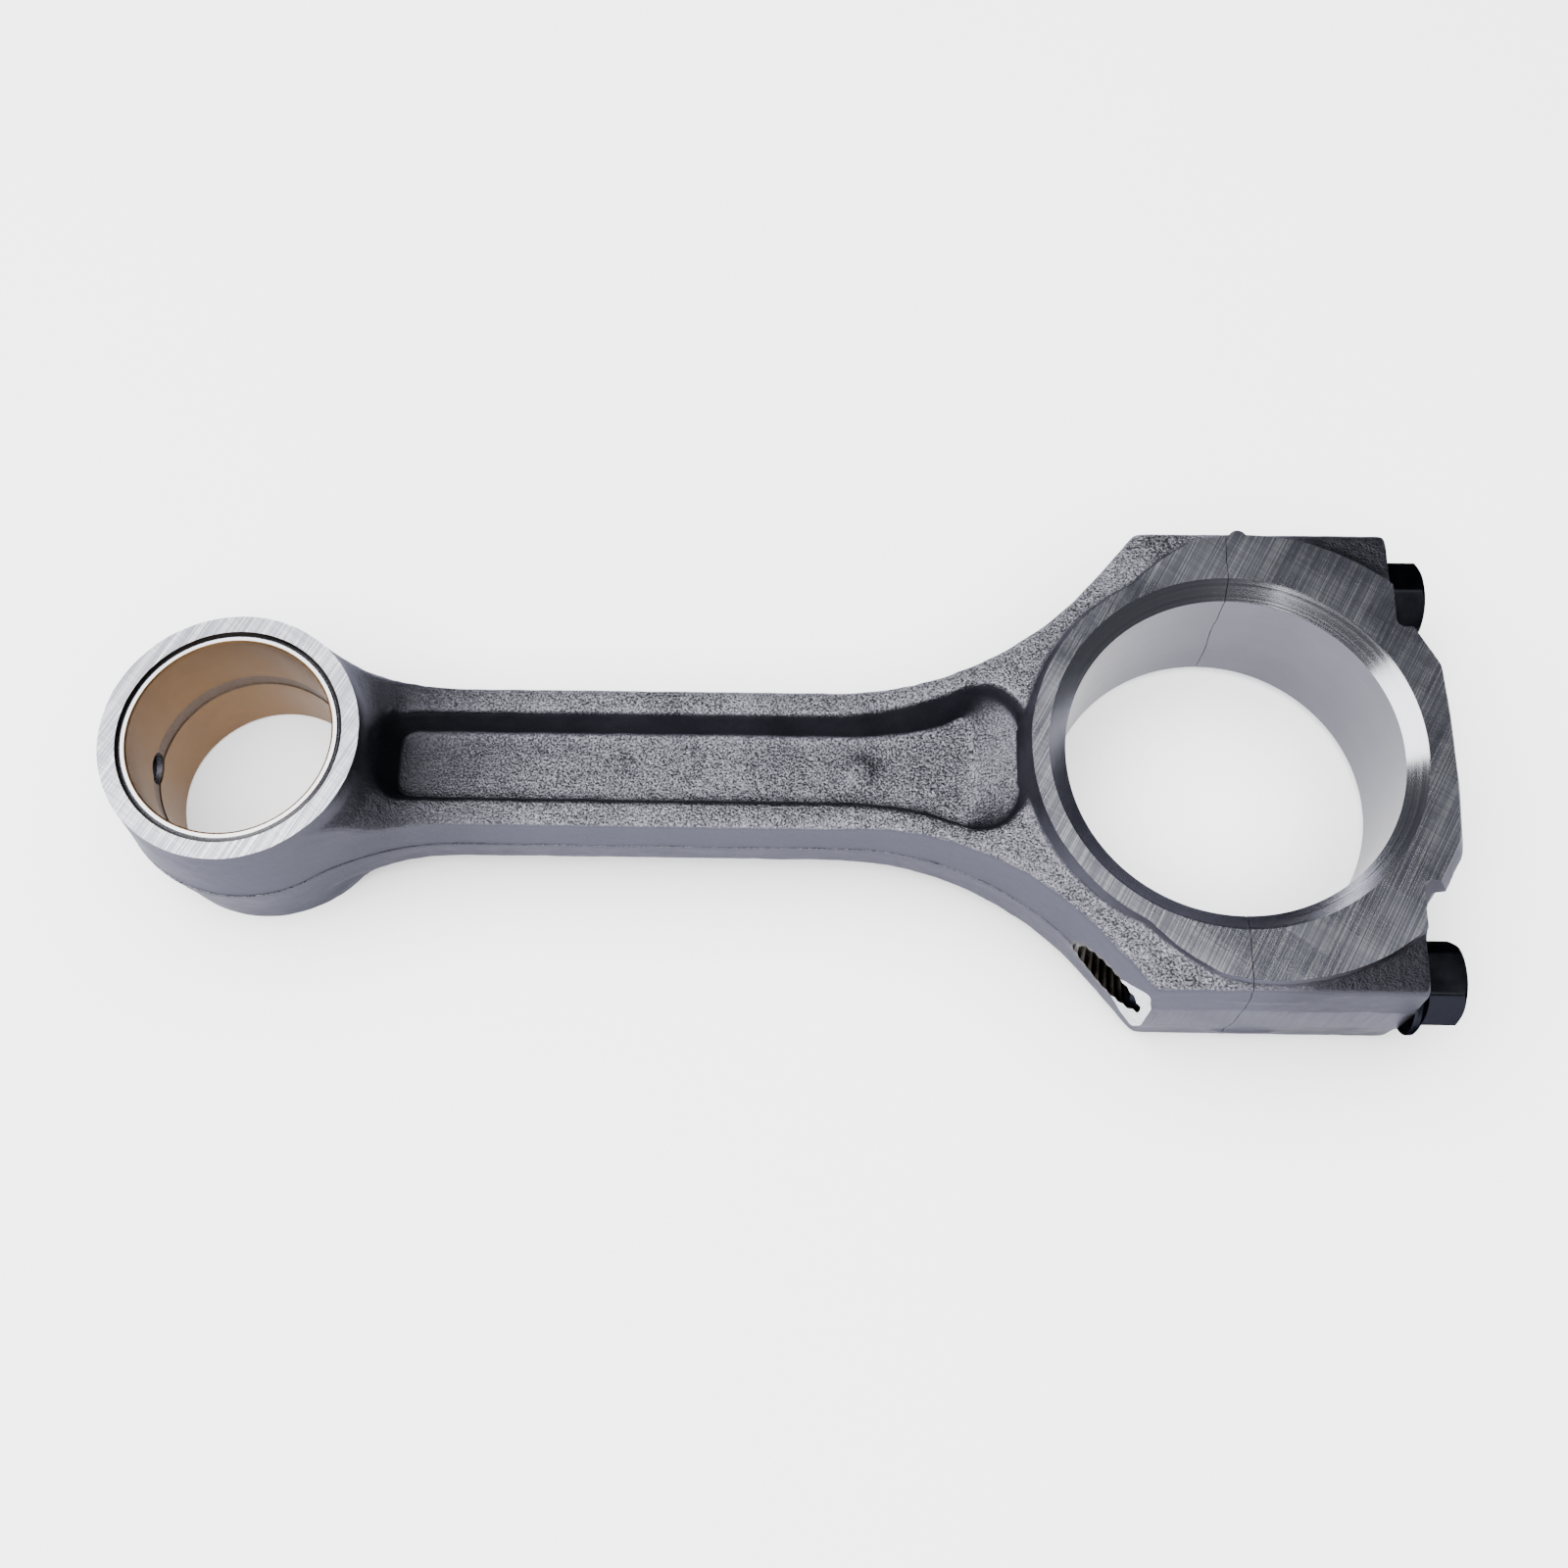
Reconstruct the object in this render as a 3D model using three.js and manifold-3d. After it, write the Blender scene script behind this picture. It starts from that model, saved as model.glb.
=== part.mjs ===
// Fracture-split connecting rod of a small diesel engine, lying on its ground side faces.
// Millimetres. The model is drawn about the middle of the big-end bore: X runs along the rod towards
// the cap, Y across it, Z along both bores. The last lines move it onto its resting face.
import * as THREE from 'three';
import { mergeVertices } from 'three/addons/utils/BufferGeometryUtils.js';
import Module from 'manifold-3d';

const wasm = await Module();
wasm.setup();

// Overall sizes
const CENTRES = 200; // small-end bore axis to big-end bore axis
const BIG_WIDTH = 38.8; // over the ground faces of the big end
const SMALL_WIDTH = 38.3; // over the ground faces of the small end

// Big end
const BIG_BORE = 67; // diameter that takes the bearing shells
const CHAMFER_DEPTH = 3.3; // turned chamfer at each mouth of the bore, along the bore
const CHAMFER_WIDTH = 3.6; // the same chamfer across the face
const RING_LAND = 3.2; // ground face left outside the chamfer, shank side
const CROWN_LAND = 8.3; // from bore to the top of the cap, on the ground face
const CROWN_WIDTH = 37; // straight part of the top of the cap
const CROWN_BULGE = 2.9; // the forging at the parting line stands this far beyond the ground face
const CROWN_DROP = 0.6; // the top of the cap falls away by this much at the ends of its straight part
const CAP_SEAT = 33.4; // split plane to the seat of the bolt heads
const CAP_STEP = 3; // step from the seat to the corner of the cap
const COLUMN_REACH = 18.4; // how far the bolt columns run back from the split
const FACE_LEAVES_RING = THREE.MathUtils.degToRad(116); // where the ground face flares out to the split

// Small end and its bush
const PIN_BORE = 41; // inside diameter of the bush
const LINING_THICKNESS = 0.4; // bronze
const BACKING_THICKNESS = 1.2; // steel
const BUSH_LENGTH = 37.7;
const BUSH_CHAMFER = 0.5;
const GROOVE_WIDTH = 3.3;
const GROOVE_DEPTH = 0.25;
const OIL_HOLE = 6.8; // drilled through the top of the eye and the bush
const EYE_WALL = 4; // ground ring outside the bush
const EYE_CHAMFER = 0.5;

// Shank
const SHANK_WIDTH = 31.6; // at the parting line
const SHANK_THICKNESS = 20.2; // over the flanges
const WEB_THICKNESS = 6.4;
const FLANGE_WIDTH = 6.2; // each flange, at the parting line
const POCKET_WALL_RUN = 2.8; // how far the pocket wall leans in from top to web
const POCKET_TO_EYE = 1.5;
const POCKET_TO_RING = 2.2;
const WEB_PAD = { diameter: 6.2, top: 4.6, height: 1.2, fromBigEnd: 74 }; // mark of the ejector pin

// Forging
const FACE_STANDS_OUT = 2.4; // ground face of the big end above the forged face beside it
const RISE_START = 80; // the flanges start to thicken this far from the big-end axis
const RISE_END = 15;
const DRAFT = THREE.MathUtils.degToRad(5);
const PARTING_LAND = 0.6; // flat strip left where the flash is trimmed
const NECK_RADIUS = 60; // shank into eye
const SHOULDER_RADIUS = 64; // shank into bolt column
const SHOULDER_SLOPE = THREE.MathUtils.degToRad(50);

// Bolts
const BOLT_DIAMETER = 12;
const BOLT_LENGTH = 54; // under the head
const BOLT_TIP_CHAMFER = 1.2;
const BOLT_FLANGE_RIM = 4.4; // the flange stands out from the body by this much
const BOLT_FLANGE_HEIGHT = 3;
const BOLT_HEX = 15; // across flats
const BOLT_HEX_HEIGHT = 8;
const BOLT_HEX_CHAMFER = 1;
const BOLT_CLEARANCE = 0.3; // bolt to hole, all round
const BOLT_WALL = 1.9; // metal between a bolt hole and the big-end bore
const COLUMN_WALL = 1.6; // metal between a bolt hole and the milled side of its column
const COLUMN_STOCK = 0.8; // forging beyond that milled side
const FACE_OVER_BOLT = 4.9; // the ground face reaches this far past the bolt axis
const FACE_AT_SEAT = 6.2; // and ends this far short of it at the seat of the head
const SPOT_FACE_ROOM = 4.6; // from the bolt flange to the step of the cap

// Places worked out from the sizes
const boltHoleRadius = BOLT_DIAMETER / 2 + BOLT_CLEARANCE;
const boltY = BIG_BORE / 2 + BOLT_WALL + boltHoleRadius;
const flangeRadius = BOLT_DIAMETER / 2 + BOLT_FLANGE_RIM;
const columnY = boltY + boltHoleRadius + COLUMN_WALL;
const stepY = boltY - flangeRadius - SPOT_FACE_ROOM;
const ringRadius = BIG_BORE / 2 + CHAMFER_WIDTH + RING_LAND;
const faceY = boltY + FACE_OVER_BOLT;
const crownX = BIG_BORE / 2 + CROWN_LAND;
const liningRadius = PIN_BORE / 2 + LINING_THICKNESS;
const bushRadius = liningRadius + BACKING_THICKNESS;
const eyeRadius = bushRadius + EYE_WALL;
const eyePartingRadius = eyeRadius + (SMALL_WIDTH / 2) * Math.tan(DRAFT);
const shankY = SHANK_WIDTH / 2;
const bigEndThickness = BIG_WIDTH - 2 * FACE_STANDS_OUT;
const restWidth = Math.max(BIG_WIDTH, SMALL_WIDTH); // the wider end touches the surface it lies on
const beyond = restWidth; // cutting tools run this far past what they cut

const CURVE_STEPS = 10;
const ROUND_STEPS = 64;

// A closed three.js geometry as a solid, and back.
function solid(geometry) {
  geometry.deleteAttribute('normal');
  geometry.deleteAttribute('uv');
  const merged = mergeVertices(geometry, 1e-4);
  const triVerts = merged.index.array;
  const vertProperties = merged.attributes.position.array;
  return new wasm.Manifold(new wasm.Mesh({ numProp: 3, vertProperties, triVerts }));
}

function geometryOf(body) {
  const mesh = body.getMesh();
  const geometry = new THREE.BufferGeometry();
  geometry.setAttribute('position', new THREE.BufferAttribute(mesh.vertProperties, 3));
  geometry.setIndex(new THREE.BufferAttribute(mesh.triVerts, 1));
  const flat = geometry.toNonIndexed();
  flat.computeVertexNormals();
  return flat;
}

function prism(outline, low, high) {
  const options = { depth: high - low, bevelEnabled: false, curveSegments: CURVE_STEPS };
  return solid(new THREE.ExtrudeGeometry(outline, options).translate(0, 0, low));
}

// A forging has draft both ways from its parting line, where its outline is given.
function forged(outline, thickness) {
  const run = (thickness / 2) * Math.tan(DRAFT);
  const geometry = new THREE.ExtrudeGeometry(outline, {
    depth: PARTING_LAND,
    bevelThickness: (thickness - PARTING_LAND) / 2,
    bevelSize: run,
    bevelOffset: -run,
    bevelSegments: 1,
    curveSegments: CURVE_STEPS,
  });
  return solid(geometry.translate(0, 0, -PARTING_LAND / 2));
}

// A turned shape about Z from [radius, height] pairs.
function turned(profile, steps = ROUND_STEPS) {
  const points = profile.map(([radius, height]) => new THREE.Vector2(radius, height));
  return solid(new THREE.LatheGeometry(points, steps).rotateX(Math.PI / 2));
}

// A round bar along X.
function bar(radius, from, to, steps = 32) {
  const geometry = new THREE.CylinderGeometry(radius, radius, to - from, steps).rotateZ(-Math.PI / 2);
  return geometry.translate((from + to) / 2, 0, 0);
}

function block(x0, x1, y0, y1, z0, z1) {
  const geometry = new THREE.BoxGeometry(x1 - x0, y1 - y0, z1 - z0);
  return solid(geometry.translate((x0 + x1) / 2, (y0 + y1) / 2, (z0 + z1) / 2));
}

// One half of an outline, listed from -X to +X with Y above zero, closed by its mirror image.
function mirrored(half) {
  const upper = half.getPoints(CURVE_STEPS);
  const lower = upper.filter((p) => p.y > 1e-6).map((p) => new THREE.Vector2(p.x, -p.y));
  return new THREE.Shape([...lower, ...upper.reverse()]);
}

// Centre of the round shoulder, so that its slope meets the back corner of the bolt column.
function shoulderCentreX() {
  const topOfArc = shankY + SHOULDER_RADIUS * (1 - Math.cos(SHOULDER_SLOPE));
  const straight = (columnY + COLUMN_STOCK - topOfArc) / Math.tan(SHOULDER_SLOPE);
  return -COLUMN_REACH - straight - SHOULDER_RADIUS * Math.sin(SHOULDER_SLOPE);
}

// Plan of the forging at the parting line: neck, shank, shoulders, bolt columns and cap.
function forgingOutline() {
  const neckX = -CENTRES + Math.sqrt((eyePartingRadius + NECK_RADIUS) ** 2 - (shankY + NECK_RADIUS) ** 2);
  const neckTurn = Math.asin((neckX + CENTRES) / (eyePartingRadius + NECK_RADIUS));
  const shoulderX = shoulderCentreX();
  const quarter = Math.PI / 2;
  const half = new THREE.Path();
  half.moveTo(-CENTRES, shankY / 2);
  half.lineTo(neckX - NECK_RADIUS * Math.sin(neckTurn), shankY + NECK_RADIUS * (1 - Math.cos(neckTurn)));
  half.absarc(neckX, shankY + NECK_RADIUS, NECK_RADIUS, -quarter - neckTurn, -quarter, false);
  const shoulderY = shankY + SHOULDER_RADIUS;
  half.absarc(shoulderX, shoulderY, SHOULDER_RADIUS, -quarter, SHOULDER_SLOPE - quarter, false);
  half.lineTo(-COLUMN_REACH, columnY + COLUMN_STOCK);
  half.lineTo(CAP_SEAT + CAP_STEP / 2, columnY + COLUMN_STOCK);
  half.lineTo(CAP_SEAT + CAP_STEP + CROWN_BULGE, stepY);
  half.lineTo(crownX + CROWN_BULGE - 2 * CROWN_DROP, CROWN_WIDTH / 2);
  half.quadraticCurveTo(crownX + CROWN_BULGE, CROWN_WIDTH / 4, crownX + CROWN_BULGE, 0);
  return mirrored(half);
}

// Plan of the big end's ground face.
function faceOutline() {
  const leaveX = ringRadius * Math.cos(FACE_LEAVES_RING);
  const half = new THREE.Path();
  half.absarc(0, 0, ringRadius, Math.PI, FACE_LEAVES_RING, true);
  half.quadraticCurveTo(0.55 * leaveX, faceY, 0, faceY);
  half.quadraticCurveTo(0.6 * CAP_SEAT, faceY, CAP_SEAT, boltY - FACE_AT_SEAT);
  half.lineTo(CAP_SEAT + CAP_STEP, stepY);
  half.lineTo(crownX - CROWN_DROP, CROWN_WIDTH / 2);
  half.quadraticCurveTo(crownX, CROWN_WIDTH / 4, crownX, 0);
  return mirrored(half);
}

// Plan of the pocket between the flanges, at its mouth.
function pocketOutline() {
  const start = -CENTRES + eyePartingRadius + POCKET_TO_EYE;
  const end = -ringRadius - POCKET_TO_RING;
  const halfWidth = shankY - FLANGE_WIDTH;
  const corner = 0.6 * halfWidth;
  const shoulderX = shoulderCentreX();
  const radius = SHOULDER_RADIUS + FLANGE_WIDTH;
  const endRun = 1.1 * halfWidth; // length of the rounded end beside the big end
  const turn = Math.asin((end - endRun - shoulderX) / radius);
  const widest = shankY + SHOULDER_RADIUS - radius * Math.cos(turn);
  const half = new THREE.Path();
  half.moveTo(start, halfWidth - corner);
  half.quadraticCurveTo(start, halfWidth, start + corner, halfWidth);
  half.absarc(shoulderX, shankY + SHOULDER_RADIUS, radius, -Math.PI / 2, turn - Math.PI / 2, false);
  half.bezierCurveTo(end - 0.5 * endRun, 1.08 * widest, end, 0.75 * widest, end, 0);
  return mirrored(half);
}

// The flanges are thin along the shank and thicken into the big end.
function sideEnvelope() {
  const thin = SHANK_THICKNESS / 2;
  const thick = bigEndThickness / 2;
  const left = -CENTRES - beyond;
  const right = crownX + beyond;
  const outline = new THREE.Shape([
    new THREE.Vector2(left, -thin),
    new THREE.Vector2(-RISE_START, -thin),
    new THREE.Vector2(-RISE_END, -thick),
    new THREE.Vector2(right, -thick),
    new THREE.Vector2(right, thick),
    new THREE.Vector2(-RISE_END, thick),
    new THREE.Vector2(-RISE_START, thin),
    new THREE.Vector2(left, thin),
  ]);
  const width = 2 * (columnY + beyond);
  const options = { depth: width, bevelEnabled: false };
  return solid(new THREE.ExtrudeGeometry(outline, options).translate(0, 0, -width / 2).rotateX(Math.PI / 2));
}

function pocketTool() {
  const depth = (SHANK_THICKNESS - WEB_THICKNESS) / 2;
  const geometry = new THREE.ExtrudeGeometry(pocketOutline(), {
    depth: beyond,
    bevelThickness: depth,
    bevelSize: POCKET_WALL_RUN,
    bevelOffset: -POCKET_WALL_RUN,
    bevelSegments: 1,
    curveSegments: CURVE_STEPS,
  });
  return solid(geometry.translate(0, 0, WEB_THICKNESS / 2 + depth));
}

function webPad() {
  const geometry = new THREE.CylinderGeometry(
    WEB_PAD.top / 2,
    WEB_PAD.diameter / 2,
    WEB_PAD.height + WEB_THICKNESS / 2,
    16,
  );
  geometry.rotateX(Math.PI / 2);
  return solid(geometry.translate(-WEB_PAD.fromBigEnd, 0, (WEB_PAD.height + WEB_THICKNESS / 2) / 2));
}

function bigBoreTool() {
  const face = BIG_WIDTH / 2;
  const slope = CHAMFER_WIDTH / CHAMFER_DEPTH;
  const mouth = BIG_BORE / 2 + CHAMFER_WIDTH + slope;
  return turned([
    [0, -face - 1],
    [mouth, -face - 1],
    [BIG_BORE / 2, -face + CHAMFER_DEPTH],
    [BIG_BORE / 2, face - CHAMFER_DEPTH],
    [mouth, face + 1],
    [0, face + 1],
  ]);
}

function eyeForging() {
  const face = SMALL_WIDTH / 2;
  return turned([
    [0, -face],
    [eyeRadius, -face],
    [eyePartingRadius, -PARTING_LAND / 2],
    [eyePartingRadius, PARTING_LAND / 2],
    [eyeRadius, face],
    [0, face],
  ]).translate([-CENTRES, 0, 0]);
}

function eyeBoreTool() {
  const face = SMALL_WIDTH / 2;
  return turned([
    [0, -face - 1],
    [bushRadius + EYE_CHAMFER + 1, -face - 1],
    [bushRadius, -face + EYE_CHAMFER],
    [bushRadius, face - EYE_CHAMFER],
    [bushRadius + EYE_CHAMFER + 1, face + 1],
    [0, face + 1],
  ]).translate([-CENTRES, 0, 0]);
}

function oilHoleTool() {
  const reach = CENTRES + eyePartingRadius + 1;
  return solid(bar(OIL_HOLE / 2, -reach, -CENTRES, 20));
}

function boltHoleTools() {
  const hole = solid(bar(boltHoleRadius, shoulderCentreX(), CAP_SEAT + beyond));
  return hole.translate([0, boltY, 0]).add(hole.translate([0, -boltY, 0]));
}

// Everything is forged and machined in one piece, and the cap is then cracked off at X = 0.
function wholeRod() {
  const far = columnY + beyond;
  const pocket = pocketTool();
  let body = forged(forgingOutline(), bigEndThickness).intersect(sideEnvelope());
  body = body.subtract(pocket).subtract(pocket.mirror([0, 0, 1]));
  body = body.add(webPad()).add(webPad().mirror([0, 0, 1])).add(eyeForging());
  body = body.add(prism(faceOutline(), -BIG_WIDTH / 2, BIG_WIDTH / 2));
  for (const side of [-1, 1]) {
    const edges = [side * stepY, side * far].sort((a, b) => a - b);
    const flat = [side * columnY, side * far].sort((a, b) => a - b);
    body = body.subtract(block(CAP_SEAT, CAP_SEAT + beyond, ...edges, -beyond, beyond));
    body = body.subtract(block(-CENTRES / 2, CAP_SEAT + beyond, ...flat, -beyond, beyond));
  }
  for (const tool of [bigBoreTool(), eyeBoreTool(), oilHoleTool(), boltHoleTools()]) {
    body = body.subtract(tool);
  }
  return body;
}

// A wrapped bush: steel strip lined with bronze, with an oil groove half way along.
function bushBacking() {
  const end = BUSH_LENGTH / 2;
  const ring = turned([
    [liningRadius, -end],
    [bushRadius - BUSH_CHAMFER, -end],
    [bushRadius, -end + BUSH_CHAMFER],
    [bushRadius, end - BUSH_CHAMFER],
    [bushRadius - BUSH_CHAMFER, end],
    [liningRadius, end],
    [liningRadius, -end],
  ]);
  return ring.translate([-CENTRES, 0, 0]).subtract(oilHoleTool());
}

function bushLining() {
  const end = BUSH_LENGTH / 2;
  const inner = PIN_BORE / 2;
  const ring = turned([
    [inner, -end],
    [liningRadius, -end],
    [liningRadius, end],
    [inner, end],
    [inner, GROOVE_WIDTH / 2],
    [inner + GROOVE_DEPTH, GROOVE_WIDTH / 2],
    [inner + GROOVE_DEPTH, -GROOVE_WIDTH / 2],
    [inner, -GROOVE_WIDTH / 2],
    [inner, -end],
  ]);
  return ring.translate([-CENTRES, 0, 0]).subtract(oilHoleTool());
}

// Hexagon bolt with a flange, its axis along X.
function capBolt() {
  const tip = CAP_SEAT - BOLT_LENGTH;
  const flangeTop = CAP_SEAT + BOLT_FLANGE_HEIGHT;
  const top = flangeTop + BOLT_HEX_HEIGHT;
  const radius = BOLT_DIAMETER / 2;
  const corner = BOLT_HEX / Math.sqrt(3);
  const stem = turned([
    [0, tip],
    [radius - BOLT_TIP_CHAMFER, tip],
    [radius, tip + BOLT_TIP_CHAMFER],
    [radius, CAP_SEAT],
    [flangeRadius, CAP_SEAT],
    [flangeRadius, CAP_SEAT + BOLT_FLANGE_HEIGHT / 2],
    [corner, flangeTop],
    [0, flangeTop],
  ], 32);
  const hex = new THREE.CylinderGeometry(corner, corner, BOLT_HEX_HEIGHT + 1, 6);
  hex.rotateX(Math.PI / 2);
  hex.translate(0, 0, flangeTop + (BOLT_HEX_HEIGHT - 1) / 2);
  const crown = turned([
    [0, tip],
    [corner + 1, tip],
    [corner + 1, top - BOLT_HEX_CHAMFER],
    [corner - BOLT_HEX_CHAMFER, top],
    [0, top],
  ], 32);
  return stem.add(solid(hex).intersect(crown)).rotate([0, 90, 0]);
}

const forgedSteel = new THREE.MeshStandardMaterial({ color: 0x74757d, metalness: 0.9, roughness: 0.5 });
const groundSteel = new THREE.MeshStandardMaterial({ color: 0x8f9099, metalness: 0.9, roughness: 0.4 });
const bushSteel = new THREE.MeshStandardMaterial({ color: 0xc9c9ce, metalness: 0.9, roughness: 0.3 });
const bronze = new THREE.MeshStandardMaterial({ color: 0x9a7046, metalness: 0.8, roughness: 0.45 });
const blackOxide = new THREE.MeshStandardMaterial({ color: 0x17181c, metalness: 0.6, roughness: 0.45 });

const connectingRod = new THREE.Group();

function place(name, body, material, y = 0) {
  const mesh = new THREE.Mesh(geometryOf(body), material);
  mesh.name = name;
  mesh.position.y = y;
  connectingRod.add(mesh);
}

const whole = wholeRod();
const reach = CENTRES + columnY + beyond;
const rodSide = block(-reach, 0, -reach, reach, -beyond, beyond);
const capSide = block(0, reach, -reach, reach, -beyond, beyond);
place('rod_forging', whole.intersect(rodSide), forgedSteel);
place('rod_cap', whole.intersect(capSide), groundSteel);
place('bush_backing', bushBacking(), bushSteel);
place('bush_lining', bushLining(), bronze);
place('cap_bolt_left', capBolt(), blackOxide, boltY);
place('cap_bolt_right', capBolt(), blackOxide, -boltY);

// Origin at the middle of the bottom: the lower ground faces rest on Z = 0.
const backOfEye = -CENTRES - eyePartingRadius;
const frontOfCap = Math.max(crownX + CROWN_BULGE, CAP_SEAT + BOLT_FLANGE_HEIGHT + BOLT_HEX_HEIGHT);
connectingRod.position.set(-(backOfEye + frontOfCap) / 2, 0, restWidth / 2);

export default connectingRod;
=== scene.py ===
import math
import bpy
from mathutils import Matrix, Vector, noise


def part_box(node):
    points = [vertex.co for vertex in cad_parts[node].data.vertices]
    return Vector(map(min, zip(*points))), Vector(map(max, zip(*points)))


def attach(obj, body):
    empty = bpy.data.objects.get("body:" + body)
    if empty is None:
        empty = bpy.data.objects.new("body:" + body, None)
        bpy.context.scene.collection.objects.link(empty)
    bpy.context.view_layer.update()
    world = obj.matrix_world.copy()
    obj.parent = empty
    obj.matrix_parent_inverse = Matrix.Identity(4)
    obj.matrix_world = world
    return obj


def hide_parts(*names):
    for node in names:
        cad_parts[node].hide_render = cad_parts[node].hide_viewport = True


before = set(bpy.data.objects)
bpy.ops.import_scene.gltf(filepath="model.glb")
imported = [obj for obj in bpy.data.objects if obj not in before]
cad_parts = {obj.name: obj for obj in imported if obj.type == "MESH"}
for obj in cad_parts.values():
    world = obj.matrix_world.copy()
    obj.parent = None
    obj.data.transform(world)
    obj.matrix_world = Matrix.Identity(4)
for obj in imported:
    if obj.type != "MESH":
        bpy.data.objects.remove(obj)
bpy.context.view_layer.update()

# Camera. The rod lies across the view and is seen from above its near side, as on a bench.
# Lengths are in metres from here on, and MM turns the millimetres of a drawing into them.
MM = 0.001
CAMERA_PLACE = Vector((13.44, -138.24, 377.86)) * MM
CAMERA_LOOK = Vector((-0.0254, 0.3562, -0.9341))
CAMERA_UP = Vector((-0.0136, 0.9342, 0.3566))
bpy.ops.object.camera_add(location=CAMERA_PLACE)
camera = bpy.context.object
camera.name = "camera"
look = CAMERA_LOOK.normalized()
right = look.cross(CAMERA_UP).normalized()
for column, axis in enumerate((right, right.cross(look), -look)):
    for row in range(3):
        camera.matrix_world[row][column] = axis[row]
camera.data.lens = 42.6
camera.data.sensor_width = 36
camera.data.shift_x = -0.0056
camera.data.clip_start = 0.01
bpy.context.scene.camera = camera

# Floor: a bench top of matt white laminate, level and without a pattern. It is large enough to reach
# past the edges of the picture from every side.
FLOOR_HALF = 3.0
bpy.ops.object.select_all(action="DESELECT")
bpy.ops.mesh.primitive_plane_add(size=2 * FLOOR_HALF, location=(0, 0, 0))
floor = bpy.context.object
floor.name = "bench_top"


def linear(code):
    """An sRGB hex colour as the linear values that a shader wants."""
    channels = [int(code[i : i + 2], 16) / 255 for i in (0, 2, 4)]
    return [c / 12.92 if c <= 0.04045 else ((c + 0.055) / 1.055) ** 2.4 for c in channels] + [1]


def add(material, kind, inputs={}, **settings):
    """Adds one node. Each input, by name or number, takes a value, or the node or socket that feeds it."""
    made = material.node_tree.nodes.new("ShaderNode" + kind)
    for name, value in settings.items():
        setattr(made, name, value)
    for name, value in inputs.items():
        source = value.outputs[0] if isinstance(value, bpy.types.Node) else value
        if isinstance(source, bpy.types.NodeSocket):
            material.node_tree.links.new(made.inputs[name], source)
        else:
            made.inputs[name].default_value = source
    return made


def blank(name):
    """A material with nothing but its output, and that output's surface socket."""
    material = bpy.data.materials.new(name)
    material.use_nodes = True
    material.node_tree.nodes.clear()
    return material, add(material, "OutputMaterial").inputs["Surface"]


bench, surface = blank("matt white laminate")
paint = add(bench, "BsdfPrincipled", {"Base Color": linear("f2f2f4"), "Roughness": 0.9})
bench.node_tree.links.new(surface, paint.outputs["BSDF"])
floor.data.materials.append(bench)

# Studio light: a wide softbox that lights the bench and isn't mirrored in the metal, and a ceiling panel
# that the ground faces mirror. A low panel in front brings out the grain, and one at the left lights the
# walls that look that way. The room round them is dim.
SOFTBOXES = {
    "bench": {"place": (0.0, 0.0, 1.4), "size": (2.4, 2.4), "power": 130, "mirrored": False},
    "ceiling": {"place": (-0.25, -0.2, 1.1), "size": (1.7, 1.1), "power": 31, "mirrored": True},
    "front": {"place": (-0.3, -1.5, 0.5), "size": (1.6, 0.4), "power": 8, "mirrored": True},
    "left": {"place": (-1.2, 0.1, 0.5), "size": (1.0, 0.7), "power": 12, "mirrored": True},
}
for name, box in SOFTBOXES.items():
    bpy.ops.object.light_add(type="AREA", location=box["place"])
    lamp = bpy.context.object
    lamp.name = "softbox_" + name
    lamp.data.shape = "RECTANGLE"
    lamp.data.size, lamp.data.size_y = box["size"]
    lamp.data.energy = box["power"]
    lamp.visible_glossy = box["mirrored"]
    lamp.rotation_euler = Vector(box["place"]).to_track_quat("Z", "Y").to_euler()
room = bpy.data.worlds.new("pale studio")
room.use_nodes = True
room.node_tree.nodes["Background"].inputs["Color"].default_value = linear("c9ccd6")
room.node_tree.nodes["Background"].inputs["Strength"].default_value = 0.15
bpy.context.scene.world = room

# Rod and cap, forged as one piece. A steel billet is struck between two dies that part at the middle
# of its thickness, so every side wall leans in from a fine parting line, and every corner is round.
# Plan measures run in millimetres from the middle of the big-end bore, and heights from the parting plane.
bush_low, bush_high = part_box("bush_backing")
cap_low, cap_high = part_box("rod_cap")
bolt_low, bolt_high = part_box("cap_bolt_left")
BORE_CENTRE = Vector((cap_low.x, 0, (cap_low.z + cap_high.z) / 2))
CENTRES = (BORE_CENTRE.x - (bush_low.x + bush_high.x) / 2) / MM
BIG_FACE = (cap_high.z - cap_low.z) / 2 / MM
BUSH_RADIUS = (bush_high.y - bush_low.y) / 2 / MM
BOLT_Y = (bolt_low.y + bolt_high.y) / 2 / MM
SMALL_FACE = BIG_FACE - 0.25
BIG_BORE = 67
RING = 40.3
SHANK = 15.8
FLANGE = 6.2
FLANGE_TOP = 10.1
WEB_TOP = 3.2
EYE = 26.1
EYE_PARTING = 27.8
COLUMN_Y = 49.6
COLUMN_STOCK = 0.55
COLUMN_BACK = -18.4
SEAT = 33.4
STEP_Y = 26.7
FORGED_TOP = 17.4
STOCK = 1.6
SHOULDER_RADIUS = 64
SHOULDER_SLOPE = math.radians(50)
NECK_RADIUS = 60
DRAFT = math.tan(math.radians(5))
FACE_DRAFT = math.tan(math.radians(22))
VOXEL = 0.75 * MM
CLEAR = 60
PAST_EYE = -240


def arc(x, y, radius, start, end, steps=12):
    """Points of an arc, from one angle to another, in radians."""
    turns = [start + (end - start) * i / steps for i in range(steps + 1)]
    return [(x + radius * math.cos(a), y + radius * math.sin(a)) for a in turns]


def curve(a, b, c, steps=8):
    """Points of a smooth bend from a to c that leaves and arrives along the lines through b."""
    made = []
    for i in range(steps + 1):
        t = i / steps
        made.append(tuple((1 - t) ** 2 * p + 2 * t * (1 - t) * q + t * t * r for p, q, r in zip(a, b, c)))
    return made


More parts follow.
